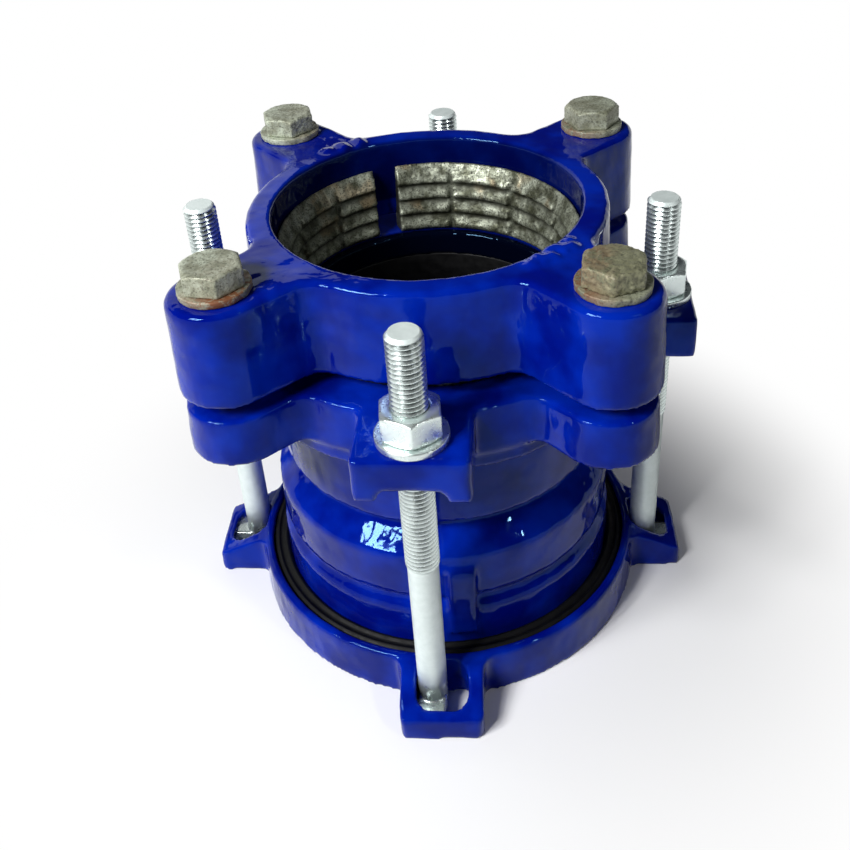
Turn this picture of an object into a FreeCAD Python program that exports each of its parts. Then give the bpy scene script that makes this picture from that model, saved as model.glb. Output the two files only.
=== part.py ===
"""Restrained stepped pipe coupling, DN80 to DN100, standing on its end ring.

The axis of the two pipes is Z. The origin is on that axis, on the underside of the end ring.
From the top down: a clamp ring squeezes a split, toothed gripper ring round the upper pipe, and
four hex bolts screw it to the gland ring. The gland ring presses the upper gasket on the sleeve,
and the sleeve presses the lower gasket in the end ring. Four long hook-head bolts hang in pockets of
the end ring and pass the lugs of the gland ring, where a nut and a washer pull the stack together.
All sizes are millimetres.
"""
import os
from math import asin, cos, degrees, radians, sin, sqrt, tan

import FreeCAD
import Part
from FreeCAD import Vector

os.makedirs("parts", exist_ok=True)

# Pipes
PIPE_TOP_R = 49.0              # DN80 ductile iron pipe, 98 outside
PIPE_STEP = 10.0               # the lower one, DN100 and 118 outside, is larger by this in radius
PIPE_GAP = 0.5                 # radial gap round a pipe in the tightest iron bore
SLEEVE_GAP = 2.5               # radial gap round a pipe inside the sleeve

# Fasteners, all M12
THREAD_D = 12.0
SHANK_D = 10.9                 # rolled bolt, plain part
TAP_GAP = 0.05                 # radial gap between thread solids
HOLE_GAP = 0.8                 # radial gap of a clearance hole
HEX_AF = 19.0
NUT_H = 10.0
HEX_HEAD_H = 7.5
WASHER_D = 24.0
WASHER_T = 2.5
WASHER_GAP = 0.5               # radial gap of a washer on its bolt
TIP_CHAMFER = 1.2
HEX_CHAMFER = 30.0             # degrees, chamfer cone of nuts and heads

# Sleeve, over the two pipes
SPIGOT_WALL = 6.6
FOOT_WALL = 7.1
GROOVE_WALL = 3.9
BAND_WALL = 6.2
FOOT_H = 22.5
FOOT_CHAMFER = 1.1
GROOVE_H = 6.0
GROOVE_RAMP_H = 2.2            # cast slope at each side of the groove
BAND_H = 18.8
BAND_EDGE_R = 1.1
SHOULDER_H = 9.0
SPIGOT_H = 30.8
STEP_WIDE_H = 1.5              # inner step: above the top of the band
STEP_NARROW_H = 3.0            # and above the outer shoulder
RIB_ANGLE = -80.5
RIB_W = 10.1
RIB_PROUD = 1.9                # rib beyond the foot
RIB_ROOT = 2.2                 # rib sunk below the groove's floor
RIB_CLEAR_H = 4.5              # rib foot above the top of the gasket lip
RIB_TOP_DROP = 4.5             # rib crown below the top of the band
RIB_EDGE_R = 1.9

# End ring
END_H = 18.8
END_FLOOR = 4.5
CUP_ROOM = 6.8                 # cup wall beyond the sleeve's foot
END_WALL = 3.8
END_DRAFT = 1.0
END_RIM_R = 1.4
END_TWIST = 2.4                # degrees: the bolts stand near one side of their slots

# Long bolts and the pocket lugs that hold their heads
LONG_BOLT_REACH = 9.0          # bolt circle beyond the cup wall
LONG_THREAD_L = 96.0
LONG_TIP_DROP = 0.8            # bolt tip below the top of the clamp ring
T_HEAD_HALF_W = 5.2
T_HEAD_H = 6.0
T_HEAD_IN = 4.7                # head from the bolt's axis towards the ring
T_HEAD_OUT = 12.6              # and outwards, under the end wall of the slot
T_HEAD_CHAMFER = 0.9
SLOT_IN_GAP = 0.4              # slot's inner end clear of the shank
SLOT_SIDE_ROOM = 4.4           # slot's side clear of the head
SLOT_CORNER_R = 6.0
HEAD_LAP = 2.1                 # head's length that stays under the slot's outer end
HEAD_END_GAP = 0.8             # chamber beyond the head
CHAMBER_CORNER_R = 1.5
POCKET_END_WALL = 1.7          # iron outside the head chamber
POCKET_ROOF_H = 8.6
POCKET_ROOF_T = 0.8            # iron over the chamber at the lug's outer end
LUG_SIDE_WALL = 5.8
LUG_CORNER_R = 3.4
LUG_TIP_DRAFT = 0.6
LUG_WEB_R = 6.0                # hollow blend between a lug's side and the cup wall

# Lower gasket
GASKET_GAP = 0.3               # between a gasket and the iron round it
SEAL_LIP_GAP = 1.3             # radial gap between a slack gasket and its pipe
LOWER_SEAT_H = 7.1             # rubber under the sleeve
LOWER_LIP_DROP = 1.1           # gasket lip below the rim of the end ring
LOWER_SEAL_W = 5.5             # sealing face inside the sleeve's foot
LOWER_SEAL_DROP = 3.0          # slope of the seal down to the pipe

# Upper gasket
UPPER_SEAL_H = 21.0
UPPER_LIP_H = 6.0
UPPER_LIP_W = 2.2

# Gland ring
GLAND_TOP_WALL = 10.5
GLAND_FLANGE_STEP = 9.8        # flange beyond the skirt
GLAND_FLANGE_H = 24.8
GLAND_CUP_GAP = 1.1            # radial gap between the skirt and the spigot
GLAND_SKIRT_WALL = 4.1
GLAND_SKIRT_H = 33.0
GLAND_SKIRT_CHAMFER = 0.8
GLAND_SKIRT_DRAFT = 0.9
GLAND_FILLET = 3.0             # cast fillet under the flange
GLAND_EAR_H = 18.0
GLAND_LUG_HALF_W = 19.1
GLAND_LUG_H = 12.4             # at the middle of the front edge
GLAND_LEG_H = 4.1              # a leg below the middle
GLAND_LEG_W = 8.2
GLAND_LUG_RIM = 0.4            # lug beyond the washer
GLAND_LUG_ROOT = 9.0           # lug sunk into the flange
GLAND_LUG_EDGE_R = 2.2
GLAND_CHANNEL_R = 2.6

# Gripper ring
GRIP_SLACK = 2.0               # open gripper's teeth clear of the pipe
GRIP_TOP_WALL = 4.2
GRIP_LIP_W = 0.5               # flat at the very top
GRIP_H = 30.0
GRIP_CONE_RISE = 4.2           # radius gained from the top to the bottom
GRIP_TOOTH_DEPTH = 2.2
GRIP_LEAD_H = 7.1              # lead-in chamfer at the top
GRIP_PITCH = 6.8
GRIP_TEETH = 4
GRIP_CREST_H = 0.5
GRIP_UNDERCUT_H = 1.2
GRIP_GAP_ANGLE = 114.0
GRIP_GAP_W = 9.4
GRIP_NOTCH_ANGLES = (27.0, 56.0, 85.0, 139.0, 165.0, 193.0, 221.0, 250.0, 278.0, 306.0, 335.0)
GRIP_NOTCH_W = 1.8

# Clamp ring
CLAMP_H = 34.5
CLAMP_LIFT = 6.0               # gap between the clamp ring and the gland ring
CLAMP_SEAT_GAP = 0.5           # radial gap on the gripper's cone
CLAMP_TOP_WALL = 9.5
CLAMP_DRAFT = 1.0
CLAMP_EDGE_R = 2.4
CLAMP_MOUTH = 0.8              # chamfer at the top of the bore
CLAMP_BOLT_REACH = 22.5        # bolt circle beyond the ring's wall
CLAMP_BOLT_L = 55.0
EAR_R = 16.3
EAR_WEB_R = 9.0
# Rough lumps of the casting on the clamp ring's top, beside the stubs of broken gates
LUMP_ANGLES = (-51.5, -45.0, -42.0, -36.5, -33.0, 134.0)
# Each lump: out from the middle of the ring's top, half width, height
LUMP_SIZES = (
    (0.4, 3.0, 1.3), (1.6, 3.2, 1.9), (-1.8, 2.8, 1.6), (2.2, 3.2, 1.9), (-0.8, 2.2, 1.1),
    (1.4, 2.6, 1.1))
STUB_ANGLES = (-48.0, -39.5, 121.0, 128.0)
STUB_L = 7.0
STUB_W = 3.4
STUB_H = 1.5
STUB_EDGE_R = 0.6

# Radii that follow
pipe_bottom_r = PIPE_TOP_R + PIPE_STEP
thread_r = THREAD_D / 2
shank_r = SHANK_D / 2
tap_r = thread_r + TAP_GAP
hole_r = thread_r + HOLE_GAP
washer_r = WASHER_D / 2
narrow_r = PIPE_TOP_R + SLEEVE_GAP
wide_r = pipe_bottom_r + SLEEVE_GAP
spigot_r = narrow_r + SPIGOT_WALL
foot_r = wide_r + FOOT_WALL
groove_r = wide_r + GROOVE_WALL
band_r = wide_r + BAND_WALL
end_bore_r = pipe_bottom_r + PIPE_GAP
end_cup_r = foot_r + CUP_ROOM
end_out_r = end_cup_r + END_WALL
long_circle_r = end_cup_r + LONG_BOLT_REACH
slot_in_r = long_circle_r - shank_r - SLOT_IN_GAP
slot_out_r = long_circle_r + T_HEAD_OUT - HEAD_LAP
slot_half_w = T_HEAD_HALF_W + SLOT_SIDE_ROOM
chamber_out_r = long_circle_r + T_HEAD_OUT + HEAD_END_GAP
lug_out_r = chamber_out_r + POCKET_END_WALL
lug_half_w = slot_half_w + LUG_SIDE_WALL
gland_bore_r = PIPE_TOP_R + PIPE_GAP
gland_cup_r = spigot_r + GLAND_CUP_GAP
skirt_out_r = gland_cup_r + GLAND_SKIRT_WALL
gland_flange_r = skirt_out_r + GLAND_FLANGE_STEP
gland_lug_out = long_circle_r + washer_r + GLAND_LUG_RIM
grip_crest_r = PIPE_TOP_R + GRIP_SLACK
grip_top_r = grip_crest_r + GRIP_TOP_WALL
clamp_bore_r = grip_top_r + CLAMP_SEAT_GAP
clamp_out_r = clamp_bore_r + CLAMP_TOP_WALL
clamp_circle_r = clamp_out_r + CLAMP_BOLT_REACH

# Heights that follow
sleeve_z = END_FLOOR + LOWER_SEAT_H
foot_top = sleeve_z + FOOT_H
band_z = foot_top + GROOVE_H
band_top = band_z + BAND_H
shoulder_top = band_top + SHOULDER_H
sleeve_top = shoulder_top + SPIGOT_H
gland_shoulder_z = sleeve_top + UPPER_SEAL_H
gland_top = gland_shoulder_z + GLAND_TOP_WALL
flange_z = gland_top - GLAND_FLANGE_H
skirt_z = flange_z - GLAND_SKIRT_H
gland_lug_z = gland_top - GLAND_LUG_H
clamp_z = gland_top + CLAMP_LIFT
clamp_top = clamp_z + CLAMP_H
grip_top = gland_top + GRIP_H
grip_cone = GRIP_CONE_RISE / GRIP_H
lip_top = END_H - LOWER_LIP_DROP
lug_tip_h = POCKET_ROOF_H + POCKET_ROOF_T
long_tip = clamp_top - LONG_TIP_DROP

SIDE_ANGLES = {"front": -90.0, "right": 0.0, "back": 90.0, "left": 180.0}
CORNER_ANGLES = {"front_left": -135.0, "front_right": -45.0, "back_right": 45.0, "back_left": 135.0}
NUT_ANGLES = {"front": 37.0, "right": 21.0, "back": 15.0, "left": 2.0}
HEAD_ANGLES = {"front_left": 51.0, "front_right": 24.0, "back_right": 59.0, "back_left": 48.0}


def at_angle(shape, angle):
    """A copy turned about the pipe axis."""
    return shape.rotated(Vector(), Vector(0, 0, 1), angle)


def place(angle, radius):
    return Vector(radius * cos(radians(angle)), radius * sin(radians(angle)), 0)


def turned(points):
    """A solid turned about Z from its (radius, height) outline."""
    outline = [Vector(r, 0, z) for r, z in points]
    face = Part.Face(Part.makePolygon(outline + outline[:1]))
    return face.revolve(Vector(), Vector(0, 0, 1), 360)


def rod(radius, z0, z1):
    return Part.makeCylinder(radius, z1 - z0, Vector(0, 0, z0))


def block(x0, x1, half_w, z0, z1):
    """A block that reaches from x0 to x1 and is centred on the X axis."""
    return Part.makeBox(x1 - x0, 2 * half_w, z1 - z0, Vector(x0, -half_w, z0))


def edges_where(shape, test):
    return [edge for edge in shape.Edges if test(edge)]


def is_upright(edge):
    box = edge.BoundBox
    return box.XLength < 0.01 and box.YLength < 0.01 and box.ZLength > 0.5


def lies_at(edge, height):
    box = edge.BoundBox
    return box.ZLength < 0.01 and abs(box.ZMin - height) < 0.01


def rounded_block(x0, x1, half_w, z0, z1, radius):
    """A block with its four upright edges rounded."""
    solid = block(x0, x1, half_w, z0, z1)
    return solid.makeFillet(radius, edges_where(solid, is_upright))


def eared_wire(ring_r, ear_r, web_r, height):
    """The plan of a ring with four round ears, blended to it by hollow arcs."""
    blend_x = sqrt((ring_r + web_r) ** 2 - (ear_r + web_r) ** 2)
    blend_y = ear_r + web_r
    blend_angle = degrees(asin(blend_y / (ring_r + web_r)))
    mid_turn = radians((blend_angle + 90.0) / 2)
    edges = []
    for angle in CORNER_ANGLES.values():

        def point(x, y, turn=radians(angle)):
            return Vector(x * cos(turn) - y * sin(turn), x * sin(turn) + y * cos(turn), height)

        touch = ring_r / (ring_r + web_r)
        for side in (-1, 1):
            on_ring = point(blend_x * touch, side * blend_y * touch)
            on_flank = point(blend_x, side * ear_r)
            hollow = point(blend_x - web_r * cos(mid_turn), side * (blend_y - web_r * sin(mid_turn)))
            at_ear = point(clamp_circle_r, side * ear_r)
            edges.append(Part.Arc(on_ring, hollow, on_flank).toShape())
            edges.append(Part.LineSegment(on_flank, at_ear).toShape())
        tip = point(clamp_circle_r + ear_r, 0)
        edges.append(Part.Arc(point(clamp_circle_r, -ear_r), tip, point(clamp_circle_r, ear_r)).toShape())
        ring_start = radians(angle + blend_angle)
        ring_mid = radians(angle + 45.0)
        ring_end = radians(angle + 90.0 - blend_angle)
        arc = [Vector(ring_r * cos(a), ring_r * sin(a), height) for a in (ring_start, ring_mid, ring_end)]
        edges.append(Part.Arc(*arc).toShape())
    return Part.Wire(Part.__sortEdges__(edges))


def eared_plate(ring_r, z0, z1, draft):
    """A drafted plate, wider by the draft at its underside."""
    lower = eared_wire(ring_r + draft, EAR_R + draft, EAR_WEB_R - draft, z0)
    upper = eared_wire(ring_r, EAR_R, EAR_WEB_R, z1)
    return Part.makeLoft([lower, upper], True, True)


def dome(half_w, height):
    """The cap of a sphere, standing on the plane z = 0 and sunk a little into it."""
    radius = (half_w ** 2 + height ** 2) / (2 * height)
    ball = Part.makeSphere(radius, Vector(0, 0, height - radius))
    return ball.common(rod(2 * half_w, -0.5, height + 1))


def gate_stub():
    """The low stub of a broken gate, standing on the plane z = 0 and sunk a little into it."""
    stub = block(-STUB_L / 2, STUB_L / 2, STUB_W / 2, -0.5, STUB_H)
    return stub.makeFillet(STUB_EDGE_R, edges_where(stub, lambda edge: edge.BoundBox.ZMax > STUB_H - 0.01))


def hexagon(height, z0):
    corner_r = HEX_AF / sqrt(3)
    corners = [place(60 * i, corner_r) + Vector(0, 0, z0) for i in range(7)]
    return Part.Face(Part.makePolygon(corners)).extrude(Vector(0, 0, height))


def chamfer_cone(z, upward):
    """A cone that trims the corners of a hexagon whose end face lies at z."""
    reach = 4 * HEX_AF
    end_r = 0.475 * HEX_AF
    drop = reach * tan(radians(HEX_CHAMFER))
    far_z = z - drop if upward else z + drop
    return turned([(0, z), (end_r, z), (end_r + reach, far_z), (0, far_z)])


def long_nut(z0):
    nut = hexagon(NUT_H, z0)
    nut = nut.common(chamfer_cone(z0 + NUT_H, True)).common(chamfer_cone(z0, False))
    return nut.cut(rod(tap_r, z0 - 1, z0 + NUT_H + 1))


def washer(z0):
    return rod(washer_r, z0, z0 + WASHER_T).cut(rod(thread_r + WASHER_GAP, z0 - 1, z0 + WASHER_T + 1))


def clamp_bolt(seat_z):
    """A hex bolt, threaded to the head, with its tip inside the gland ring's ear."""
    head = hexagon(HEX_HEAD_H, seat_z).common(chamfer_cone(seat_z + HEX_HEAD_H, True))
    tip_z = seat_z - CLAMP_BOLT_L
    shank = turned([
        (0, tip_z), (thread_r - TIP_CHAMFER, tip_z), (thread_r, tip_z + TIP_CHAMFER),
        (thread_r, seat_z), (0, seat_z)])
    return head.fuse(shank)


def long_bolt():
    """A hook-head bolt, whose head reaches outwards under the end wall of its pocket's slot."""
    thread_z = long_tip - LONG_THREAD_L
    shank = turned([
        (0, POCKET_ROOF_H), (shank_r, POCKET_ROOF_H), (shank_r, thread_z - 1), (thread_r, thread_z),
        (thread_r, long_tip - TIP_CHAMFER), (thread_r - TIP_CHAMFER, long_tip), (0, long_tip)])
    head = block(-T_HEAD_IN, T_HEAD_OUT, T_HEAD_HALF_W, POCKET_ROOF_H - T_HEAD_H, POCKET_ROOF_H)
    head = head.makeChamfer(T_HEAD_CHAMFER, edges_where(head, is_upright))
    return head.fuse(shank).removeSplitter()


def lug_plan():
    """The plan of a pocket lug, blended to the cup wall by a hollow arc on each side."""
    hollow_y = lug_half_w + LUG_WEB_R
    hollow_x = sqrt((end_out_r + LUG_WEB_R) ** 2 - hollow_y ** 2)
    touch = end_out_r / (end_out_r + LUG_WEB_R)
    mid_turn = radians((degrees(asin(hollow_y / (end_out_r + LUG_WEB_R))) + 90.0) / 2)
    root_x = end_cup_r - 1
    corners = {}
    for side in (-1, 1):
        corners[side] = [
            Vector(root_x, side * hollow_y * touch, 0), Vector(hollow_x * touch, side * hollow_y * touch, 0),
            Vector(hollow_x - LUG_WEB_R * cos(mid_turn), side * (hollow_y - LUG_WEB_R * sin(mid_turn)), 0),
            Vector(hollow_x, side * lug_half_w, 0), Vector(lug_out_r, side * lug_half_w, 0)]
    edges = [Part.makeLine(corners[-1][0], corners[1][0]), Part.makeLine(corners[-1][4], corners[1][4])]
    for root, on_wall, hollow, on_flank, tip in corners.values():
        edges += [Part.makeLine(root, on_wall), Part.Arc(on_wall, hollow, on_flank).toShape()]
        edges.append(Part.makeLine(on_flank, tip))
    return Part.Wire(Part.__sortEdges__(edges))


def pocket_lug():
    """A sloping lug on the X axis, before its slot is cut."""
    root_r = end_cup_r - 1
    profile = [
        (root_r, 0), (lug_out_r, 0), (lug_out_r - LUG_TIP_DRAFT, lug_tip_h), (end_out_r + 1, END_H - 1),
        (root_r, END_H - 1)]
    reach = lug_half_w + 2 * LUG_WEB_R
    outline = [Vector(x, -reach, z) for x, z in profile]
    slope = Part.Face(Part.makePolygon(outline + outline[:1])).extrude(Vector(0, 2 * reach, 0))
    lug = Part.Face(lug_plan()).extrude(Vector(0, 0, END_H))
    lug = lug.makeFillet(LUG_CORNER_R, edges_where(
        lug, lambda edge: is_upright(edge) and edge.BoundBox.XMin > lug_out_r - 1))
    return lug.common(slope)


def lug_hollow():
    """The slot through a pocket lug and the chamber for the bolt's head below it."""
    slot = rounded_block(slot_in_r, slot_out_r, slot_half_w, -1, END_H + 1, SLOT_CORNER_R)
    chamber = rounded_block(slot_in_r, chamber_out_r, slot_half_w, -1, POCKET_ROOF_H, CHAMBER_CORNER_R)
    return slot.fuse(chamber)


def end_ring():
    ring = turned([
        (end_bore_r, 0), (end_out_r + END_DRAFT, 0), (end_out_r, END_H), (end_cup_r, END_H),
        (end_cup_r, END_FLOOR), (end_bore_r, END_FLOOR)])
    ring = ring.makeFillet(END_RIM_R, edges_where(ring, lambda edge: lies_at(edge, END_H)))
    cup = rod(end_cup_r, END_FLOOR, END_H + 1)
    for angle in SIDE_ANGLES.values():
        ring = ring.fuse(at_angle(pocket_lug().cut(cup), angle))
    for angle in SIDE_ANGLES.values():
        ring = ring.cut(at_angle(lug_hollow(), angle))
    return at_angle(ring.removeSplitter(), END_TWIST)


def lower_gasket():
    inner_r = pipe_bottom_r + SEAL_LIP_GAP
    outer_r = end_cup_r - GASKET_GAP
    return turned([
        (inner_r, END_FLOOR), (outer_r, END_FLOOR), (outer_r, lip_top), (foot_r + GASKET_GAP, lip_top),
        (foot_r + GASKET_GAP, sleeve_z), (foot_r - LOWER_SEAL_W, sleeve_z),
        (inner_r, sleeve_z - LOWER_SEAL_DROP)])


def sleeve():
    """The stepped centre sleeve, with one upright rib over its band and foot."""
    body = turned([
        (wide_r, sleeve_z), (foot_r, sleeve_z), (foot_r, foot_top - FOOT_CHAMFER),
        (foot_r - FOOT_CHAMFER, foot_top), (groove_r, foot_top + GROOVE_RAMP_H),
        (groove_r, band_z - GROOVE_RAMP_H), (band_r, band_z), (band_r, band_top), (spigot_r, shoulder_top),
        (spigot_r, sleeve_top), (narrow_r, sleeve_top), (narrow_r, shoulder_top + STEP_NARROW_H),
        (wide_r, band_top + STEP_WIDE_H)])
    body = body.makeFillet(BAND_EDGE_R, edges_where(body, lambda edge: lies_at(edge, band_top)))
    rib_out_r = foot_r + RIB_PROUD
    rib_top = band_top - RIB_TOP_DROP
    rib = block(groove_r - RIB_ROOT, rib_out_r, RIB_W / 2, lip_top + RIB_CLEAR_H, rib_top)
    crown = edges_where(rib, lambda edge: lies_at(edge, rib_top) and edge.BoundBox.XMin > rib_out_r - 1)
    rib = rib.makeFillet(RIB_EDGE_R, crown)
    return body.fuse(at_angle(rib, RIB_ANGLE)).removeSplitter()


def upper_gasket():
    inner_r = PIPE_TOP_R + SEAL_LIP_GAP
    outer_r = gland_cup_r - GASKET_GAP
    return turned([
        (inner_r + UPPER_LIP_W, sleeve_top), (outer_r, sleeve_top), (outer_r, gland_shoulder_z),
        (inner_r, gland_shoulder_z), (inner_r, sleeve_top + UPPER_LIP_H)])


def gland_lug():
    """A channel-shaped lug on the X axis: a top plate for the washer, with a leg on each side."""
    lug = rounded_block(
        gland_flange_r - GLAND_LUG_ROOT, gland_lug_out, GLAND_LUG_HALF_W,
        gland_lug_z - GLAND_LEG_H, gland_top, GLAND_LUG_EDGE_R)
    channel = block(
        gland_flange_r - GLAND_LUG_ROOT - 1, gland_lug_out + 1, GLAND_LUG_HALF_W - GLAND_LEG_W,
        gland_lug_z - GLAND_LEG_H - 1, gland_lug_z)
    top_corners = edges_where(channel, lambda edge: lies_at(edge, gland_lug_z)
                              and edge.BoundBox.YLength < 0.01)
    channel = channel.makeFillet(GLAND_CHANNEL_R, top_corners)
    return lug.cut(channel)


def gland_ring():
    flange = eared_plate(gland_flange_r, gland_top - GLAND_EAR_H, gland_top, CLAMP_DRAFT)
    hoop = rod(gland_flange_r, flange_z, gland_top - 1)
    fillet_r = skirt_out_r + GLAND_FILLET
    skirt = turned([
        (0, skirt_z), (skirt_out_r - GLAND_SKIRT_CHAMFER, skirt_z),
        (skirt_out_r, skirt_z + GLAND_SKIRT_CHAMFER),
        (skirt_out_r + GLAND_SKIRT_DRAFT, flange_z - GLAND_FILLET + GLAND_SKIRT_DRAFT),
        (fillet_r, flange_z), (fillet_r, flange_z + 2), (0, flange_z + 2)])
    ring = flange.fuse([hoop, skirt] + [at_angle(gland_lug(), angle) for angle in SIDE_ANGLES.values()])
    bore = turned([
        (0, skirt_z - 1), (gland_cup_r, skirt_z - 1), (gland_cup_r, gland_shoulder_z),
        (gland_bore_r, gland_shoulder_z), (gland_bore_r, gland_top + 1), (0, gland_top + 1)])
    holes = [bore]
    for angle in SIDE_ANGLES.values():
        holes.append(rod(hole_r, flange_z, gland_top + 1).translated(place(angle, long_circle_r)))
    for angle in CORNER_ANGLES.values():
        holes.append(rod(tap_r, flange_z, gland_top + 1).translated(place(angle, clamp_circle_r)))
    for hole in holes:
        ring = ring.cut(hole)
    return ring.removeSplitter()


def gripper_ring():
    """A split ring with a cone outside and saw teeth inside, notched across the teeth."""
    crest = grip_crest_r
    root = grip_crest_r + GRIP_TOOTH_DEPTH
    points = [(grip_top_r, grip_top), (grip_top_r - GRIP_LIP_W, grip_top)]
    z = grip_top - GRIP_LEAD_H
    for tooth in range(GRIP_TEETH):
        points += [(crest, z), (crest, z - GRIP_CREST_H), (root, z - GRIP_CREST_H - GRIP_UNDERCUT_H)]
        z -= GRIP_PITCH
    points[-1] = (root, gland_top)
    points.append((grip_top_r + GRIP_CONE_RISE, gland_top))
    ring = turned(points)
    gap = block(0, clamp_out_r, GRIP_GAP_W / 2, gland_top - 1, grip_top + 1)
    ring = ring.cut(at_angle(gap, GRIP_GAP_ANGLE))
    for angle in GRIP_NOTCH_ANGLES:
        notch = block(0, root, GRIP_NOTCH_W / 2, gland_top - 1, grip_top + 1)
        ring = ring.cut(at_angle(notch, angle))
    return ring


def clamp_ring():
    plate = eared_plate(clamp_out_r, clamp_z, clamp_top, CLAMP_DRAFT)
    top_edges = edges_where(plate, lambda edge: lies_at(edge, clamp_top))
    plate = plate.makeFillet(CLAMP_EDGE_R, top_edges)
    seat_foot_r = clamp_bore_r + grip_cone * (grip_top - clamp_z + 1)
    bore = turned([
        (0, clamp_z - 1), (seat_foot_r, clamp_z - 1), (clamp_bore_r, grip_top),
        (clamp_bore_r, clamp_top - CLAMP_MOUTH),
        (clamp_bore_r + 2 * CLAMP_MOUTH, clamp_top + CLAMP_MOUTH), (0, clamp_top + CLAMP_MOUTH)])
    plate = plate.cut(bore)
    for angle in CORNER_ANGLES.values():
        plate = plate.cut(rod(hole_r, clamp_z - 1, clamp_top + 1).translated(place(angle, clamp_circle_r)))
    middle_r = (clamp_bore_r + clamp_out_r) / 2
    for angle, (out, half_w, height) in zip(LUMP_ANGLES, LUMP_SIZES):
        spot = place(angle, middle_r + out) + Vector(0, 0, clamp_top)
        plate = plate.fuse(dome(half_w, height).translated(spot))
    for angle in STUB_ANGLES:
        stub = gate_stub().translated(Vector(middle_r, 0, clamp_top))
        plate = plate.fuse(at_angle(stub, angle))
    return plate.removeSplitter()


def write(name, shape):
    solids = shape.Solids
    if len(solids) != 1 or not shape.isValid():
        print("check", name, len(solids), shape.isValid())
    solid = solids[0] if len(solids) == 1 else shape
    solid.exportStep("parts/" + name + ".step")
    print(name, round(solid.Volume / 1000, 1), "cm3", len(solid.Faces), "faces")


write("end_ring", end_ring())
write("lower_gasket", lower_gasket())
write("sleeve", sleeve())
write("upper_gasket", upper_gasket())
write("gland_ring", gland_ring())
write("gripper_ring", gripper_ring())
write("clamp_ring", clamp_ring())
for side, angle in SIDE_ANGLES.items():
    spot = place(angle, long_circle_r)
    write("long_bolt_" + side, at_angle(long_bolt(), angle).translated(spot))
    write("long_washer_" + side, washer(gland_top).translated(spot))
    write("long_nut_" + side, at_angle(long_nut(gland_top + WASHER_T), NUT_ANGLES[side]).translated(spot))
for corner, angle in CORNER_ANGLES.items():
    spot = place(angle, clamp_circle_r)
    write("clamp_washer_" + corner, washer(clamp_top).translated(spot))
    bolt = at_angle(clamp_bolt(clamp_top + WASHER_T), HEAD_ANGLES[corner])
    write("clamp_bolt_" + corner, bolt.translated(spot))
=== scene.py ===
"""Looks of the stepped pipe coupling: enamelled castings, zinc fasteners, rubber and studio.

Lengths are metres, in the frame of the CAD model. Each casting is the CAD solid, remeshed with
soft edges and an uneven, enamelled skin. Fasteners get real helical threads.
"""
from math import cos, pi, radians, sin, sqrt

import bmesh
import bpy
import numpy as np
from mathutils import Matrix, Vector


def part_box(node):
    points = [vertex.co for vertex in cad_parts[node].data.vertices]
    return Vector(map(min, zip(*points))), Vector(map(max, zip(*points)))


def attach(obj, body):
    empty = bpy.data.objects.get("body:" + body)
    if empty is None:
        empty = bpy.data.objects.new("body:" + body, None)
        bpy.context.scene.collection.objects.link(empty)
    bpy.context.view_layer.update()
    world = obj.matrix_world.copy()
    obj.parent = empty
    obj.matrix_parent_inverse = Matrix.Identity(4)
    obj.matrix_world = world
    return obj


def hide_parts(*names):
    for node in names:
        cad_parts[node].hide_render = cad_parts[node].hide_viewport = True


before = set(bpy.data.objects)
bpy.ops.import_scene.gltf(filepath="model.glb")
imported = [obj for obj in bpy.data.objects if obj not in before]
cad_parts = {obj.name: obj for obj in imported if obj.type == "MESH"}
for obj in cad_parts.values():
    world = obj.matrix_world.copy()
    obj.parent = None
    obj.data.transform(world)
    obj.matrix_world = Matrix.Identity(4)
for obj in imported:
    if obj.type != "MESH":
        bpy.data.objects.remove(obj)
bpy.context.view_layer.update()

MM = 0.001
SIDES = ("front", "right", "back", "left")
CORNERS = ("front_left", "front_right", "back_right", "back_left")
FIELD_WAVES = 28
CAD_WELD = 0.002 * MM
THREAD_WELD = 0.01 * MM

# Camera, fitted to the photograph
CAMERA_AIM = Vector((-0.0007, -0.0195, 0.1398))
CAMERA_AZIMUTH = radians(6.8)
CAMERA_ELEVATION = radians(31.9)
CAMERA_ROLL = radians(-4.0)
CAMERA_DISTANCE = 0.371
IMAGE_PX = 850.0
FOCAL_PX = 1031.0
AXIS_Y_PX = 300.0
SENSOR_MM = 36.0
CLIP_NEAR = 0.02
CLIP_FAR = 30

# Fasteners: M12 threads, heads, nuts and washers
THREAD_PITCH = 1.75 * MM
THREAD_DEPTH = 1.07 * MM
THREAD_R = 6.0 * MM
SHANK_R = 5.45 * MM
TIP_CHAMFER = 1.2 * MM
LONG_THREAD_L = 96.0 * MM
THREAD_RUNOUT = 1.5 * THREAD_PITCH
TURN_STEPS = 40
LONG_HEAD_H = 6.0 * MM
LONG_HEAD_VOXEL = 0.4 * MM
# Painted shade darkens the shank's foot over these heights
PAINTED_SHADE_FOOT_H = 9.0 * MM
NUT_VOXEL = 0.5 * MM
CLAMP_HEAD_VOXEL = 0.47 * MM
CLAMP_PLAIN_L = 2.0 * MM
HEAD_LAP = 1.0 * MM
WASHER_HOLE_R = 6.5 * MM
WASHER_EDGE_R = 0.45 * MM
WASHER_WEAR_L = 4.0 * MM
LONG_WASHER_WEAR = 0.03 * MM
CLAMP_WASHER_WEAR = 0.14 * MM
CRUST_LONG = 2.6 * MM
CRUST_SHORT = 1.3 * MM

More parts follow.
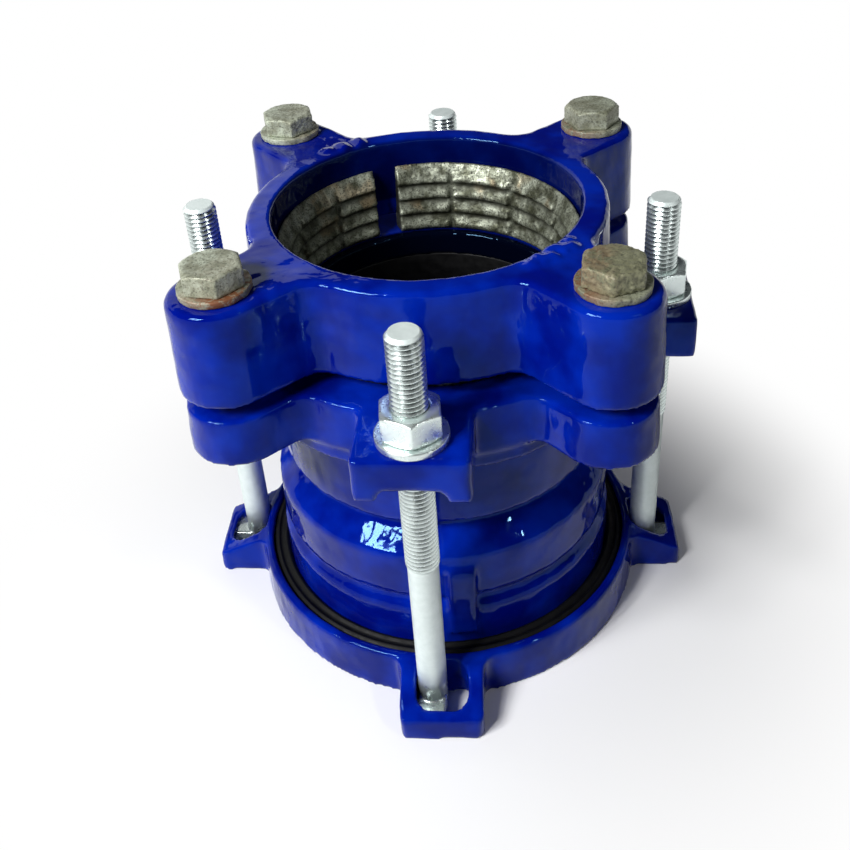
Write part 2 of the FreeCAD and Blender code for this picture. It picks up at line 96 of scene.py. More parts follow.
# Rubber rings
LOWER_RING_W = 14.8 * MM
LOWER_LIP_W = 6.2 * MM
LOWER_SEAL_W = 5.8 * MM
LOWER_SEAL_DROP = 3.0 * MM
UPPER_RING_W = 8.6 * MM
UPPER_LIP_W = 2.2 * MM
UPPER_LIP_H = 6.0 * MM
RIB_H = 1.0 * MM
OUTER_RIB_TOP = 1.7 * MM
OUTER_RIB_FOOT = 2.5 * MM
GROOVE_END = 3.5 * MM
INNER_RIB_TOP = 1.2 * MM
LOWER_CORNER_R = 0.5 * MM
UPPER_CORNER_R = 0.7 * MM

# Castings: the enamel takes painted shade, near black inside the first radius and darker on walls facing the
# axis inside the second.
# Bolt holes stay open to HOLE_R, and surfaces turned SIDEWAYS that fit together move back by FIT_PLAY.
BORE_R = 53.0 * MM
SHADED_R = 58.0 * MM
BORE_FADE = 1.5 * MM
BORE_SHADE = 0.75
LUMP_L = 26.0 * MM
LUMP_H = 0.07 * MM
RIPPLE_L = 8.0 * MM
RIPPLE_H = 0.035 * MM
RUN_L = 7.5 * MM
RUN_H = 0.04 * MM
RUN_STRETCH = (1.0, 1.0, 3.5)
HOLE_R = 6.4 * MM
FIT_PLAY = 0.04 * MM
SIDEWAYS = 0.3

# Gripper, with painted shade between its teeth, and its notches in degrees
GRIP_LUMP_L = 3.4 * MM
GRIP_LUMP_H = 0.06 * MM
GRIP_GRAIN_L = 1.7 * MM
GRIP_GRAIN_H = 0.05 * MM
GRIP_HOLLOW = 0.2 * MM
GRIP_PROUD = 0.12 * MM
GRIP_CREST_IN = 8.4 * MM
GRIP_DARK_FROM = 0.7 * MM
GRIP_DARK_OVER = 1.4 * MM
GRIP_LEAD_H = 6.0 * MM
NOTCH_ANGLES = (27.0, 56.0, 85.0, 139.0, 165.0, 193.0, 221.0, 250.0, 278.0, 306.0, 335.0)
NOTCH_REACH = 2.0
NOTCH_DARKNESS = 0.35

# Colours
ENAMEL_THICK = (0.0002, 0.004, 0.18)
ENAMEL_THIN = (0.0005, 0.018, 0.35)
ENAMEL_DUST = (0.02, 0.06, 0.34)
ENAMEL_GLOSS = (0.3, 0.62, 1.0)
# Painted shade, for the castings' bore and their walls facing the axis
BORE_PAINTED_SHADE = (0.0004, 0.001, 0.006)
RUBBER_DARK = (0.0012, 0.0012, 0.0015)
RUBBER_WORN = (0.0035, 0.0035, 0.004)
ZINC_WORN = (0.66, 0.76, 0.73)
ZINC_CLEAN = (0.90, 0.98, 0.96)
# Painted shade, for the thread roots and the shank's foot
ZINC_PAINTED_SHADE = (0.10, 0.13, 0.13)
DULL_DARK = (0.24, 0.25, 0.18)
DULL_PALE = (0.54, 0.59, 0.47)
DULL_PIT = (0.05, 0.05, 0.035)
CRUST_DARK = (0.10, 0.10, 0.05)
CRUST_PALE = (0.34, 0.34, 0.21)
RUST = (0.20, 0.075, 0.03)
IRON_DARK = (0.07, 0.075, 0.045)
IRON_PALE = (0.42, 0.45, 0.36)
IRON_TAN = (0.40, 0.30, 0.17)
# Pits, and painted shade between the gripper's teeth
IRON_PIT_AND_PAINTED_SHADE = (0.02, 0.02, 0.014)

# Backdrop and lamps
FLOOR_SEEN = (0.95, 0.95, 0.95)
FLOOR_LIT = (0.55, 0.55, 0.55)
WHITE_FROM = 0.09
WHITE_BY = 0.21
GLOSSY_DELAY = 0.2
BACKDROP_R = 5.0
BACKDROP_H = 1.3
BACKDROP_SEGMENTS = 64
LAMP_AIM = Vector((0, 0, 0.09))
SKY_COLOUR = (0.5, 0.56, 0.66, 1.0)
SKY_STRENGTH = 0.045


# Fields and meshes

def field(points, wavelength, seed, stretch=(1.0, 1.0, 1.0)):
    """A smooth uneven field of unit spread: a sum of waves in random directions."""
    rng = np.random.default_rng(seed)
    directions = rng.normal(size=(FIELD_WAVES, 3))
    directions /= np.linalg.norm(directions, axis=1)[:, None]
    pace = 2 * pi / (wavelength * rng.uniform(0.7, 1.5, FIELD_WAVES))
    phase = rng.uniform(0, 2 * pi, FIELD_WAVES)
    places = points / np.array(stretch)
    total = np.zeros(len(points))
    for direction, k, start in zip(directions, pace, phase):
        total += np.cos(places @ direction * k + start)
    return total * sqrt(2.0 / FIELD_WAVES)


def vertex_values(mesh, key):
    """A three-part value of every vertex, such as its place or its normal, as an array."""
    flat = np.empty(len(mesh.vertices) * 3)
    mesh.vertices.foreach_get(key, flat)
    return flat.reshape(-1, 3)


def move_to(mesh, places):
    mesh.vertices.foreach_set("co", places.ravel())
    mesh.update()


def shade_smooth(mesh):
    mesh.polygons.foreach_set("use_smooth", np.ones(len(mesh.polygons), bool))
    mesh.update()


def from_bmesh(bm, name):
    """The working mesh as a new mesh; the working one is freed."""
    mesh = bpy.data.meshes.new(name)
    bm.to_mesh(mesh)
    bm.free()
    return mesh


def welded_copy(node, above=None, below=None):
    """The CAD node's mesh with its seams welded, optionally only its part above or below a height."""
    bm = bmesh.new()
    bm.from_mesh(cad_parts[node].data)
    bmesh.ops.remove_doubles(bm, verts=bm.verts, dist=CAD_WELD)
    for height, keep_above in ((above, True), (below, False)):
        if height is None:
            continue
        cut = bmesh.ops.bisect_plane(
            bm, geom=bm.verts[:] + bm.edges[:] + bm.faces[:], plane_co=(0, 0, height),
            plane_no=(0, 0, 1), clear_inner=keep_above, clear_outer=not keep_above)
        rim = [item for item in cut["geom_cut"] if isinstance(item, bmesh.types.BMEdge)]
        bmesh.ops.contextual_create(bm, geom=rim)
    return from_bmesh(bm, node)


def remeshed(mesh, voxel, steps):
    """A closed, even mesh of the same form with softened edges."""
    source = bpy.data.objects.new("remesh", mesh)
    bpy.context.scene.collection.objects.link(source)
    even = source.modifiers.new("even", "REMESH")
    even.mode = "VOXEL"
    even.voxel_size = voxel
    soft = source.modifiers.new("soft", "SMOOTH")
    soft.factor = 0.5
    soft.iterations = steps
    graph = bpy.context.evaluated_depsgraph_get()
    result = bpy.data.meshes.new_from_object(source.evaluated_get(graph))
    bpy.data.objects.remove(source)
    shade_smooth(result)
    return result


def lathed(outline, centre, segments):
    """A closed ring turned about an upright axis from its (radius, height) outline."""
    angles = [2 * pi * i / segments for i in range(segments)]
    points = [(centre[0] + r * cos(a), centre[1] + r * sin(a), z) for a in angles for r, z in outline]
    count = len(outline)
    faces = []
    for i in range(segments):
        near = i * count
        far = (i + 1) % segments * count
        for j in range(count):
            k = (j + 1) % count
            faces.append((near + j, near + k, far + k, far + j))
    mesh = bpy.data.meshes.new("lathed")
    mesh.from_pydata(points, [], faces)
    bm = bmesh.new()
    bm.from_mesh(mesh)
    bmesh.ops.recalc_face_normals(bm, faces=bm.faces)
    mesh = from_bmesh(bm, "lathed")
    shade_smooth(mesh)
    return mesh


def rounded(outline, radius, steps=3):
    """The closed outline with each corner replaced by a short curve."""
    result = []
    count = len(outline)
    for i, corner in enumerate(outline):
        here = Vector(corner)
        before = Vector(outline[i - 1]) - here
        after = Vector(outline[(i + 1) % count]) - here
        reach = min(radius, 0.45 * before.length, 0.45 * after.length)
        start = here + before.normalized() * reach
        end = here + after.normalized() * reach
        for step in range(steps + 1):
            t = step / steps
            result.append(tuple(start * (1 - t) ** 2 + here * 2 * t * (1 - t) + end * t ** 2))
    return result


def mark(mesh, name, values):
    """Stores a value at each vertex, for the materials to read."""
    layer = mesh.attributes.new(name, "FLOAT", "POINT")
    layer.data.foreach_set("value", np.asarray(values, float))


def joined(meshes):
    """One mesh made of several that carry the same marks."""
    bm = bmesh.new()
    for mesh in meshes:
        bm.from_mesh(mesh)
    return from_bmesh(bm, "joined")


def show(mesh, name, node, body, material):
    """Shows the mesh in place of a CAD node."""
    mesh.name = name
    mesh.materials.clear()
    mesh.materials.append(material)
    piece = bpy.data.objects.new(name, mesh)
    bpy.context.scene.collection.objects.link(piece)
    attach(piece, body)
    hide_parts(node)


def centre_of(node):
    """The middle of a CAD node's box, seen from above."""
    low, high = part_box(node)
    return ((low[0] + high[0]) / 2, (low[1] + high[1]) / 2)


# Materials

class Recipe:
    """A material whose nodes are added one call at a time."""

    MIX_A = 6
    MIX_B = 7
    MIX_RESULT = 2

    def __init__(self, name):
        self.material = bpy.data.materials.new(name)
        self.material.use_nodes = True
        self.tree = self.material.node_tree
        self.shader = self.tree.nodes["Principled BSDF"]
        self.place = self.add("TexCoord").outputs["Object"]

    def add(self, kind, **inputs):
        node = self.tree.nodes.new("ShaderNode" + kind)
        for key, value in inputs.items():
            self.feed(node.inputs[key.replace("_", " ")], value)
        return node

    def feed(self, socket, value):
        if isinstance(value, bpy.types.NodeSocket):
            self.tree.links.new(value, socket)
        elif isinstance(value, tuple) and len(value) == 3 and socket.type == "RGBA":
            socket.default_value = (*value, 1.0)
        else:
            socket.default_value = value

    def set(self, **values):
        for key, value in values.items():
            self.feed(self.shader.inputs[key.replace("_", " ")], value)

    def noise(self, scale, detail, rough, stretch=None, warp=0.0):
        place = self.place
        if stretch:
            place = self.add("Mapping", Vector=place, Scale=stretch).outputs["Vector"]
        return self.add("TexNoise", Vector=place, Scale=scale, Detail=detail, Roughness=rough,
                        Distortion=warp).outputs["Fac"]

    def read(self, name):
        node = self.add("Attribute")
        node.attribute_name = name
        return node.outputs["Fac"]

    def ramp(self, source, low, high, start=0.0, end=1.0):
        """Maps the source's range from low to high onto start to end, with a smooth step."""
        node = self.add("MapRange", Value=source, From_Min=low, From_Max=high, To_Min=start, To_Max=end)
        node.interpolation_type = "SMOOTHSTEP"
        return node.outputs["Result"]

    def math(self, kind, first, second):
        node = self.add("Math")
        node.operation = kind
        self.feed(node.inputs[0], first)
        self.feed(node.inputs[1], second)
        return node.outputs["Value"]

    def mix(self, factor, first, second):
        node = self.add("Mix")
        node.data_type = "RGBA"
        self.feed(node.inputs["Factor"], factor)
        self.feed(node.inputs[self.MIX_A], first)
        self.feed(node.inputs[self.MIX_B], second)
        return node.outputs[self.MIX_RESULT]

    def bump(self, *layers):
        """Adds bumps, each a (height source, depth in metres) pair."""
        normal = None
        for source, depth in layers:
            node = self.add("Bump", Height=source, Strength=1.0, Distance=depth)
            if normal is not None:
                self.feed(node.inputs["Normal"], normal)
            normal = node.outputs["Normal"]
        self.feed(self.shader.inputs["Normal"], normal)


def enamel():
    """Glossy blue enamel, thick and uneven, over a rough casting."""
    r = Recipe("blue_enamel")
    thin = r.ramp(r.noise(50, 3, 0.5), 0.35, 0.7)
    fine = r.noise(340, 5, 0.6)
    colour = r.mix(thin, ENAMEL_THICK, ENAMEL_THIN)
    dust = r.ramp(r.noise(1200, 2, 0.6), 0.66, 0.74, 0.0, 0.3)
    colour = r.mix(r.math("MULTIPLY", dust, r.ramp(fine, 0.4, 0.7)), colour, ENAMEL_DUST)
    # Painted shade: near black in the bore and darker on walls facing the axis, as the castings mark it.
    colour = r.mix(r.read("painted_inner_shade"), colour, BORE_PAINTED_SHADE)
    r.set(Base_Color=colour, Roughness=r.ramp(fine, 0.3, 0.75, 0.03, 0.08), IOR=1.33,
          Specular_Tint=ENAMEL_GLOSS)
    r.bump((r.noise(95, 1, 0.5), 0.5 * MM), (r.noise(210, 1, 0.5, warp=0.8), 0.06 * MM),
           (r.noise(80, 2, 0.45, stretch=(1.0, 1.0, 0.3), warp=0.6), 0.4 * MM))
    return r.material


def rubber():
    """Black moulded rubber."""
    r = Recipe("black_rubber")
    mottle = r.noise(240, 4, 0.6)
    r.set(Base_Color=r.mix(mottle, RUBBER_DARK, RUBBER_WORN),
          Roughness=r.ramp(mottle, 0.3, 0.7, 0.45, 0.65), IOR=1.3)
    r.bump((r.noise(560, 4, 0.6), 0.06 * MM))
    return r.material


def bright_zinc():
    """Bright zinc plate, faintly blue-green, matte where plain, with painted shade in the thread roots and
    at the shank's foot.
    """
    r = Recipe("bright_zinc")
    worn = r.noise(290, 4, 0.6)
    plain = r.read("plain")
    colour = r.mix(worn, ZINC_WORN, ZINC_CLEAN)
    # The depth mark darkens the zinc as painted shade.
    colour = r.mix(r.math("MULTIPLY", r.read("depth"), 0.8), colour, ZINC_PAINTED_SHADE)
    polish = r.ramp(worn, 0.25, 0.75, 0.2, 0.34)
    r.set(Base_Color=colour, Metallic=r.ramp(plain, 0.0, 1.0, 0.85, 0.3),
          Roughness=r.math("ADD", polish, r.math("MULTIPLY", plain, 0.18)))
    r.bump((r.noise(900, 3, 0.6), 0.02 * MM), (r.noise(210, 3, 0.5), 0.05 * MM))
    return r.material


def dull_zinc():
    """Hot-dip zinc gone dull: a rough grey-olive crust, with rust where it is marked."""
    r = Recipe("dull_zinc")
    blotch = r.noise(170, 5, 0.65)
    grain = r.noise(800, 4, 0.65)
    pits = r.ramp(r.noise(1250, 3, 0.6), 0.5, 0.64)
    colour = r.mix(r.ramp(blotch, 0.35, 0.65), DULL_DARK, DULL_PALE)
    colour = r.mix(r.read("crust"), colour, r.mix(grain, CRUST_DARK, CRUST_PALE))
    colour = r.mix(r.math("MULTIPLY", pits, 0.6), colour, DULL_PIT)
    ragged = r.ramp(r.math("ADD", r.math("MULTIPLY", grain, 0.5), blotch), 0.62, 0.8)
    colour = r.mix(r.math("MULTIPLY", r.read("rust"), ragged), colour, RUST)
    r.set(Base_Color=colour, Metallic=0.25, Roughness=r.ramp(grain, 0.3, 0.7, 0.38, 0.62))
    r.bump((r.noise(450, 5, 0.65), 0.22 * MM), (r.noise(1500, 3, 0.6), 0.06 * MM))
    return r.material


def grey_casting():
    """Rough galvanised iron, with pits and with painted shade in its recesses."""
    r = Recipe("grey_casting")
    blotch = r.noise(150, 5, 0.65)
    grain = r.noise(950, 4, 0.65)
    colour = r.mix(r.ramp(blotch, 0.35, 0.68), IRON_DARK, IRON_PALE)
    tan_spots = r.ramp(r.noise(80, 3, 0.5), 0.56, 0.7, 0.0, 0.5)
    colour = r.mix(tan_spots, colour, IRON_TAN)
    pits = r.ramp(r.noise(1500, 2, 0.6), 0.5, 0.62, 0.0, 0.75)
    # The depth mark is painted shade; the pits are the iron's own.
    dark = r.math("MAXIMUM", pits, r.math("MULTIPLY", r.read("depth"), 0.93))
    colour = r.mix(dark, colour, IRON_PIT_AND_PAINTED_SHADE)
    r.set(Base_Color=colour, Metallic=0.6, Roughness=r.ramp(grain, 0.3, 0.7, 0.32, 0.55))
    r.bump((r.noise(520, 5, 0.65), 0.14 * MM), (r.noise(1700, 3, 0.6), 0.09 * MM))
    return r.material


ENAMEL = enamel()
RUBBER = rubber()
BRIGHT = bright_zinc()
DULL = dull_zinc()
CASTING = grey_casting()


# Castings

def facing_outwards(places, normals):
    """How far each normal points away from the upright axis, from -1 to 1."""
    radius = np.hypot(places[:, 0], places[:, 1])
    return (normals[:, 0] * places[:, 0] + normals[:, 1] * places[:, 1]) / np.maximum(radius, MM)


def clear_holes(mesh):
    """Puts the walls of the bolt holes back where they came too near to the bolts."""
    places = vertex_values(mesh, "co")
    for node in ["long_nut_" + side for side in SIDES] + ["clamp_washer_" + corner for corner in CORNERS]:
        centre = np.array(centre_of(node))
        offset = places[:, :2] - centre
        distance = np.hypot(offset[:, 0], offset[:, 1])
        near = distance < HOLE_R
        places[near, :2] = centre + offset[near] * (HOLE_R / distance[near])[:, None]
    move_to(mesh, places)


def within_box(node, places):
    """The places, held inside the CAD node's box."""
    low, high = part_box(node)
    return np.clip(places, np.array(low), np.array(high))


def cast_skin(node, mesh, seed):
    """Makes the skin uneven, as an enamelled casting's is; walls that face the axis only move back."""
    places = vertex_values(mesh, "co")
    out = vertex_values(mesh, "normal")
    upright = 1.0 - np.abs(out[:, 2])
    height = LUMP_H * field(places, LUMP_L, seed)
    height += RIPPLE_H * field(places, RIPPLE_L, seed + 1)
    height += RUN_H * upright * field(places, RUN_L, seed + 2, stretch=RUN_STRETCH)
    spread = LUMP_H + RIPPLE_H
    height = np.clip(height - 0.4 * spread, -4.8 * spread, 1.6 * spread)
    height = np.where(facing_outwards(places, out) < -SIDEWAYS, np.minimum(height, -FIT_PLAY), height)
    move_to(mesh, within_box(node, places + out * height[:, None]))


def casting(node, body, voxel, steps, seed, bolt_holes=False):
    """An enamelled casting, with painted shade near the axis and on the walls that face it."""
    mesh = remeshed(welded_copy(node), voxel, steps)
    cast_skin(node, mesh, seed)
    if bolt_holes:
        clear_holes(mesh)
    places = vertex_values(mesh, "co")
    radius = np.hypot(places[:, 0], places[:, 1])
    # Painted shade: walls facing the axis inside SHADED_R, and all of the bore inside BORE_R.
    shade = BORE_SHADE * np.clip(-facing_outwards(places, vertex_values(mesh, "normal")), 0, 1)
    shade *= radius < SHADED_R
    mark(mesh, "painted_inner_shade", np.maximum(shade, np.clip((BORE_R - radius) / BORE_FADE + 0.5, 0, 1)))
    show(mesh, node + "_skin", node, body, ENAMEL)


casting("clamp_ring", "clamp", voxel=0.98 * MM, steps=3, seed=11, bolt_holes=True)
casting("gland_ring", "gland", voxel=1.2 * MM, steps=3, seed=21, bolt_holes=True)
casting("sleeve", "base", voxel=1.25 * MM, steps=2, seed=31)
casting("end_ring", "base", voxel=0.88 * MM, steps=3, seed=41)


def gripper():
    """The toothed ring, rough as cast, with painted shade between its teeth."""
    mesh = remeshed(welded_copy("gripper_ring"), voxel=0.76 * MM, steps=1)
    places = vertex_values(mesh, "co")
    out = vertex_values(mesh, "normal")
    rough = GRIP_LUMP_H * field(places, GRIP_LUMP_L, 51) + GRIP_GRAIN_H * field(places, GRIP_GRAIN_L, 52)
    rough = np.clip(rough, -GRIP_HOLLOW, GRIP_PROUD)
    rough = np.where(facing_outwards(places, out) > SIDEWAYS, np.minimum(rough, -FIT_PLAY), rough)
    move_to(mesh, places + out * rough[:, None])
    radius = np.hypot(places[:, 0], places[:, 1])
    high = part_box("gripper_ring")[1]
    crest = high[0] - GRIP_CREST_IN
    # Painted shade: darker towards the tooth roots, none in the lead, less at the notches.
    depth = np.clip((radius - crest - GRIP_DARK_FROM) / GRIP_DARK_OVER, 0, 1)
    depth *= places[:, 2] < high[2] - GRIP_LEAD_H
    turn = np.degrees(np.arctan2(places[:, 1], places[:, 0])) % 360
    from_notch = np.abs(turn[:, None] - np.array(NOTCH_ANGLES)).min(axis=1)
    depth *= np.where(from_notch < NOTCH_REACH, NOTCH_DARKNESS, 1.0)
    mark(mesh, "depth", depth)
    show(mesh, "gripper_skin", "gripper_ring", "gland", CASTING)


gripper()


# Rubber

def gasket(node, outline, corner_r):
    """A rubber ring about the upright axis."""
    mesh = lathed(rounded(outline, corner_r), (0, 0), segments=160)
    show(mesh, node + "_rubber", node, "base", RUBBER)


def lower_gasket():
    """The lower ring: a ribbed lip outside the sleeve's foot and a seal below it."""
    low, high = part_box("lower_gasket")
    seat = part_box("sleeve")[0][2]
    outer = high[0]
    inner = outer - LOWER_RING_W
    lip_in = outer - LOWER_LIP_W
    groove = high[2] - RIB_H
    gasket("lower_gasket", [
        (inner, low[2]), (outer, low[2]), (outer, groove), (outer - OUTER_RIB_TOP, high[2]),
        (outer - OUTER_RIB_FOOT, groove), (outer - GROOVE_END, groove),
        (lip_in + INNER_RIB_TOP, high[2]), (lip_in, groove), (lip_in, seat),
        (lip_in - LOWER_SEAL_W, seat), (inner, seat - LOWER_SEAL_DROP)], LOWER_CORNER_R)


def upper_gasket():
    """The upper ring, with a seal lip at its inner foot."""
    low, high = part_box("upper_gasket")
    outer = high[0]
    inner = outer - UPPER_RING_W
    gasket("upper_gasket", [
        (inner + UPPER_LIP_W, low[2]), (outer, low[2]), (outer, high[2]), (inner, high[2]),
        (inner, low[2] + UPPER_LIP_H)], UPPER_CORNER_R)


lower_gasket()
upper_gasket()


# Fasteners

def threaded_rod(centre, low, start, tip):
    """An upright rod, plain from low to start and threaded from there up to its chamfered tip.

    The profile holds (share of the pitch, radius) and the shank (height, painted shade, plainness).
    """
    first = start - THREAD_RUNOUT
    steps = int(((tip - start) / THREAD_PITCH + 3) * TURN_STEPS)
    root_r = THREAD_R - THREAD_DEPTH
    profile = ((0.10, THREAD_R), (0.42, root_r), (0.56, root_r), (0.88, THREAD_R))
    tip_r = THREAD_R - TIP_CHAMFER
    points = []
    depths = []
    plains = []

    def add(r, angle, z, depth=0.0, plain=1.0):
        points.append((centre[0] + r * cos(angle), centre[1] + r * sin(angle), z))
        depths.append(depth)
        plains.append(plain)

    for step in range(steps + TURN_STEPS + 1):
        angle = 2 * pi * step / TURN_STEPS
        for offset, radius in profile:
            z = first + THREAD_PITCH * (step / TURN_STEPS + offset - 1)
            runout = min(max((z - start) / THREAD_RUNOUT, 0.0), 1.0)
            r = SHANK_R + (radius - SHANK_R) * runout
            r = max(min(r, tip_r + tip - z), tip_r)
            z = min(max(z, start), tip)
            in_thread = runout * (z < tip - TIP_CHAMFER)
            # The depth mark is painted shade, darkest in the thread roots.
            add(r, angle, z, in_thread * min(max((THREAD_R - r) / THREAD_DEPTH, 0), 1), 1 - in_thread)
    rows = len(profile)
    faces = []
    for step in range(steps):
        here = rows * step
        after = here + rows
        faces += [(here + j, after + j, after + j + 1, here + j + 1) for j in range(rows - 1)]
        turn_up = here + rows * TURN_STEPS
        faces.append((here + rows - 1, after + rows - 1, turn_up + rows, turn_up))
    foot = len(points)
    # The shank's foot is darker, as painted shade.
    shank = [
        (low, 0.7, 0.0), (low + PAINTED_SHADE_FOOT_H, 0.3, 0.3), (low + 2 * PAINTED_SHADE_FOOT_H, 0.0, 1.0),
        (start, 0.0, 1.0)]
    for z, depth, plain in shank:
        for step in range(TURN_STEPS):
            add(SHANK_R, 2 * pi * step / TURN_STEPS, min(z, start), depth, plain)
    for row in range(len(shank) - 1):
        near = foot + row * TURN_STEPS
        for i in range(TURN_STEPS):
            k = (i + 1) % TURN_STEPS
            faces.append((near + i, near + k, near + TURN_STEPS + k, near + TURN_STEPS + i))
    faces.append(tuple(reversed(range(foot, foot + TURN_STEPS))))
    cap = len(points)
    for step in range(TURN_STEPS):
        add(tip_r, 2 * pi * step / TURN_STEPS, tip)
    faces.append(tuple(range(cap, cap + TURN_STEPS)))
    mesh = bpy.data.meshes.new("thread")
    mesh.from_pydata(points, [], faces)
    mark(mesh, "depth", depths)
    mark(mesh, "plain", plains)
    bm = bmesh.new()
    bm.from_mesh(mesh)
    bmesh.ops.remove_doubles(bm, verts=bm.verts, dist=THREAD_WELD)
    bmesh.ops.dissolve_degenerate(bm, edges=bm.edges, dist=THREAD_WELD)
    bmesh.ops.delete(bm, geom=[v for v in bm.verts if not v.link_faces], context="VERTS")
    for face in bm.faces:
        face.smooth = len(face.verts) <= 4
    return from_bmesh(bm, "thread")


def turned_over(mesh, low, high):
    """Turns an upright rod upside down within its height, so that its tip points down."""
    places = vertex_values(mesh, "co")
    places[:, 2] = low + high - places[:, 2]
    move_to(mesh, places)
    mesh.flip_normals()
    return mesh


def even_marks(mesh, **values):
    """Gives each mark that the mesh lacks one value all over."""
    for name, value in values.items():
        if name not in mesh.attributes:
            mark(mesh, name, np.full(len(mesh.vertices), value))


def long_bolt(side):
    """A hook-head bolt, smooth-shanked below and threaded above."""
    node = "long_bolt_" + side
    low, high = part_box(node)
    head_top = low[2] + LONG_HEAD_H
    head = remeshed(welded_copy(node, below=head_top + HEAD_LAP), LONG_HEAD_VOXEL, steps=2)
    # The head is darkened a little all over with the painted shade colour.
    even_marks(head, depth=0.3, plain=0.0)
    shaft = threaded_rod(
        centre_of("long_nut_" + side), head_top - HEAD_LAP, high[2] - LONG_THREAD_L, high[2])
    show(joined([head, shaft]), node + "_threaded", node, "base", BRIGHT)


def washer_mesh(node, wobble, seed):
    """A punched washer, with edges worn round."""
    low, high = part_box(node)
    outer = (high[0] - low[0]) / 2
    outline = [(WASHER_HOLE_R, low[2]), (outer, low[2]), (outer, high[2]), (WASHER_HOLE_R, high[2])]
    mesh = lathed(rounded(outline, WASHER_EDGE_R), centre_of(node), segments=128)
    places = vertex_values(mesh, "co")
    uneven = wobble * np.clip(field(places, WASHER_WEAR_L, seed), -2, 0.4)
    move_to(mesh, places + vertex_values(mesh, "normal") * uneven[:, None])
    return mesh


def long_set(side, seed):
    """A long bolt with its washer and nut."""
    long_bolt(side)
    washer = "long_washer_" + side
    mesh = washer_mesh(washer, LONG_WASHER_WEAR, seed)
    # The washer is darkened a little all over with the painted shade colour.
    even_marks(mesh, depth=0.15, plain=0.1)
    show(mesh, washer + "_punched", washer, "gland", BRIGHT)
    nut = "long_nut_" + side
    mesh = remeshed(welded_copy(nut), NUT_VOXEL, steps=2)
    even_marks(mesh, depth=0.0, plain=0.15)
    show(mesh, nut + "_forged", nut, "nut_" + side, BRIGHT)


def rust_towards(mesh, centre, angle, amount, crust):
    """Marks rust on the side of a fastener that faces the given angle, and its crust all over."""
    places = vertex_values(mesh, "co")
    turn = np.arctan2(places[:, 1] - centre[1], places[:, 0] - centre[0])
    facing = 0.5 + 0.5 * np.cos(turn - radians(angle))
    mark(mesh, "rust", amount * np.clip(facing * 1.6 - 0.4, 0, 1))
    mark(mesh, "crust", np.full(len(places), crust))


def clamp_set(corner, seed, rough, crust, rust_angle, head_rust, washer_rust):
    """A hex bolt and its washer, both with a rough zinc crust, rusty towards an angle in degrees."""
    bolt = "clamp_bolt_" + corner
    washer = "clamp_washer_" + corner
    centre = centre_of(washer)
    low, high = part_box(bolt)
    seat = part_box(washer)[1][2]
    head = remeshed(welded_copy(bolt, above=seat - HEAD_LAP), CLAMP_HEAD_VOXEL, steps=2)
    places = vertex_values(head, "co")
    uneven = 0.6 * field(places, CRUST_LONG, seed) + 0.4 * field(places, CRUST_SHORT, seed + 1)
    uneven = rough * np.clip(uneven - 0.3, -2, 0.5)
    move_to(head, within_box(bolt, places + vertex_values(head, "normal") * uneven[:, None]))
    shaft = turned_over(threaded_rod(centre, low[2], low[2] + CLAMP_PLAIN_L, seat), low[2], seat)
    for mesh in (head, shaft):
        even_marks(mesh, depth=0.0, plain=0.0)
        rust_towards(mesh, centre, rust_angle, head_rust, crust)
    show(joined([head, shaft]), bolt + "_crusted", bolt, "screw_" + corner, DULL)
    mesh = washer_mesh(washer, CLAMP_WASHER_WEAR, seed + 5)
    rust_towards(mesh, centre, rust_angle, washer_rust, 0.6 * crust)
    show(mesh, washer + "_crusted", washer, "clamp", DULL)


for number, side in enumerate(SIDES):
    long_set(side, 60 + number)
clamp_set("front_left", seed=71, rough=0.06 * MM, crust=0.1, rust_angle=-40, head_rust=0.15, washer_rust=1.0)
clamp_set("front_right", seed=81, rough=0.24 * MM, crust=0.9, rust_angle=170, head_rust=0.4, washer_rust=0.9)
clamp_set("back_right", seed=91, rough=0.06 * MM, crust=0.25, rust_angle=200, head_rust=0.1, washer_rust=0.7)
clamp_set("back_left", seed=101, rough=0.08 * MM, crust=0.1, rust_angle=20, head_rust=0.1, washer_rust=0.4)


# Studio

def backdrop():
    """A white floor and a low white wall far behind it, which stay white far from the lamps."""
    r = Recipe("backdrop")
    rays = r.add("LightPath").outputs
    seen = r.math("MAXIMUM", rays["Is Camera Ray"], rays["Is Glossy Ray"])
    seen = r.math("MAXIMUM", seen, rays["Is Transmission Ray"])
    r.set(Base_Color=r.mix(seen, FLOOR_LIT, FLOOR_SEEN), Roughness=0.9)
    distance = r.add("VectorMath")
    distance.operation = "LENGTH"
    r.feed(distance.inputs[0], r.place)
    delay = r.math("MULTIPLY", rays["Is Glossy Ray"], GLOSSY_DELAY)
    reach = r.math("SUBTRACT", distance.outputs["Value"], delay)
    far = r.ramp(reach, WHITE_FROM, WHITE_BY)
    white = r.add("Emission", Strength=1.0)
    blend = r.add("MixShader", Fac=r.math("MULTIPLY", far, seen))
    r.feed(blend.inputs[1], r.shader.outputs["BSDF"])
    r.feed(blend.inputs[2], white.outputs["Emission"])
    r.feed(r.tree.nodes["Material Output"].inputs["Surface"], blend.outputs["Shader"])
    count = BACKDROP_SEGMENTS
    angles = [2 * pi * i / count for i in range(count)]
    rim = [(BACKDROP_R * cos(angle), BACKDROP_R * sin(angle)) for angle in angles]
    points = [(x, y, 0.0) for x, y in rim] + [(x, y, BACKDROP_H) for x, y in rim]
    faces = [tuple(range(count))]
    faces += [(i, i + count, (i + 1) % count + count, (i + 1) % count) for i in range(count)]
    mesh = bpy.data.meshes.new("backdrop")
    mesh.from_pydata(points, [], faces)
    mesh.materials.append(r.material)
    floor = bpy.data.objects.new("backdrop", mesh)
    bpy.context.scene.collection.objects.link(floor)


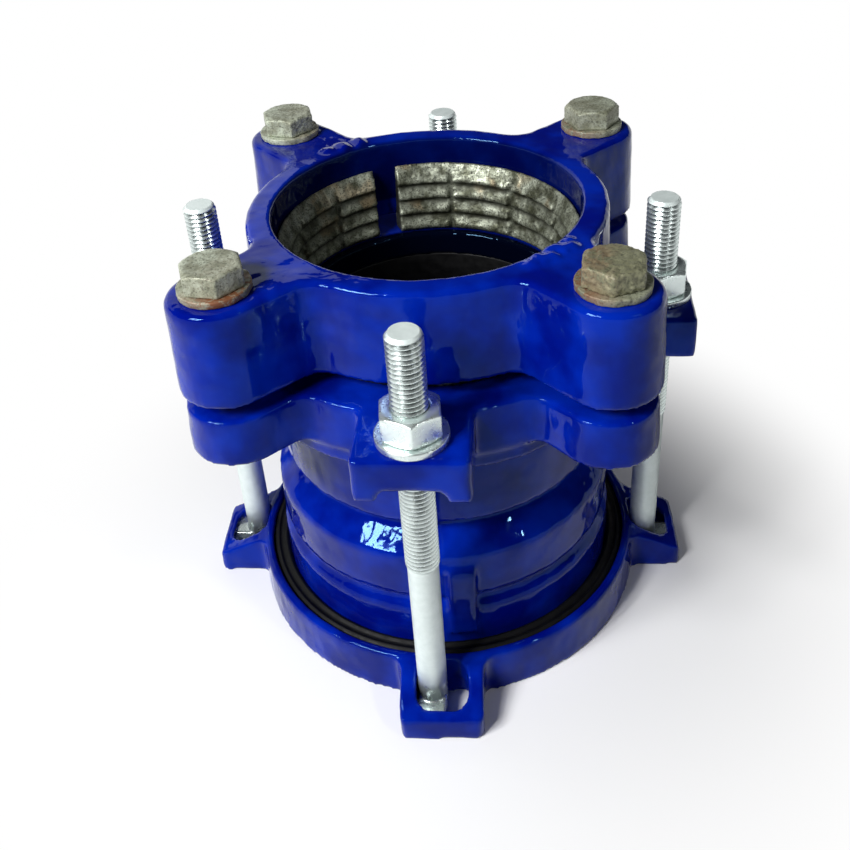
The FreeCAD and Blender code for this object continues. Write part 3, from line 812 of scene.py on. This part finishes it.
def softbox(name, direction, distance, width, height, radiance, shift=(0.0, 0.0)):
    """A rectangular lamp that faces the object, moved within its own plane by the shift."""
    lamp = bpy.data.lights.new(name, "AREA")
    lamp.shape = "RECTANGLE"
    lamp.size = width
    lamp.size_y = height
    lamp.energy = radiance * pi * width * height
    holder = bpy.data.objects.new(name, lamp)
    away = Vector(direction).normalized()
    turn = away.to_track_quat("Z", "Y")
    holder.rotation_mode = "QUATERNION"
    holder.rotation_quaternion = turn
    holder.location = LAMP_AIM + away * distance + turn @ Vector((*shift, 0))
    bpy.context.scene.collection.objects.link(holder)


def window(direction, distance, pane_w, pane_h, gap, radiance):
    """Six lamps, as the panes of a window behind the camera."""
    for i in (-1, 0, 1):
        for j in (-0.5, 0.5):
            shift = (i * (pane_w + gap), j * (pane_h + gap))
            softbox("window", direction, distance, pane_w, pane_h, radiance, shift)


backdrop()
window((-0.51, -0.56, 0.65), distance=1.0, pane_w=0.098, pane_h=0.096, gap=0.042, radiance=72.0)
softbox("side_window", (0.62, -0.5, 0.62), distance=1.0, width=0.04, height=0.09, radiance=80.0)
softbox("back_panel", (-0.62, 0.62, 0.45), distance=1.0, width=1.0, height=0.45, radiance=0.9)

world = bpy.data.worlds.new("world")
bpy.context.scene.world = world
world.use_nodes = True
sky = world.node_tree.nodes["Background"]
sky.inputs["Color"].default_value = SKY_COLOUR
sky.inputs["Strength"].default_value = SKY_STRENGTH


# Camera

def photo_camera():
    """The photograph's own camera, whose optical axis passes above the middle of the picture."""
    back = Vector((
        sin(CAMERA_AZIMUTH) * cos(CAMERA_ELEVATION), -cos(CAMERA_AZIMUTH) * cos(CAMERA_ELEVATION),
        sin(CAMERA_ELEVATION)))
    right = Vector((cos(CAMERA_AZIMUTH), sin(CAMERA_AZIMUTH), 0))
    up = back.cross(right)
    data = bpy.data.cameras.new("camera")
    data.sensor_width = SENSOR_MM
    data.lens = SENSOR_MM * FOCAL_PX / IMAGE_PX
    data.shift_y = AXIS_Y_PX / IMAGE_PX - 0.5
    data.clip_start = CLIP_NEAR
    data.clip_end = CLIP_FAR
    camera = bpy.data.objects.new("camera", data)
    bpy.context.scene.collection.objects.link(camera)
    image_x = right * cos(CAMERA_ROLL) + up * sin(CAMERA_ROLL)
    image_y = up * cos(CAMERA_ROLL) - right * sin(CAMERA_ROLL)
    camera.rotation_mode = "QUATERNION"
    camera.rotation_quaternion = Matrix((image_x, image_y, back)).transposed().to_quaternion()
    camera.location = CAMERA_AIM + back * CAMERA_DISTANCE
    bpy.context.scene.camera = camera


photo_camera()
bpy.context.scene.view_settings.view_transform = "Standard"
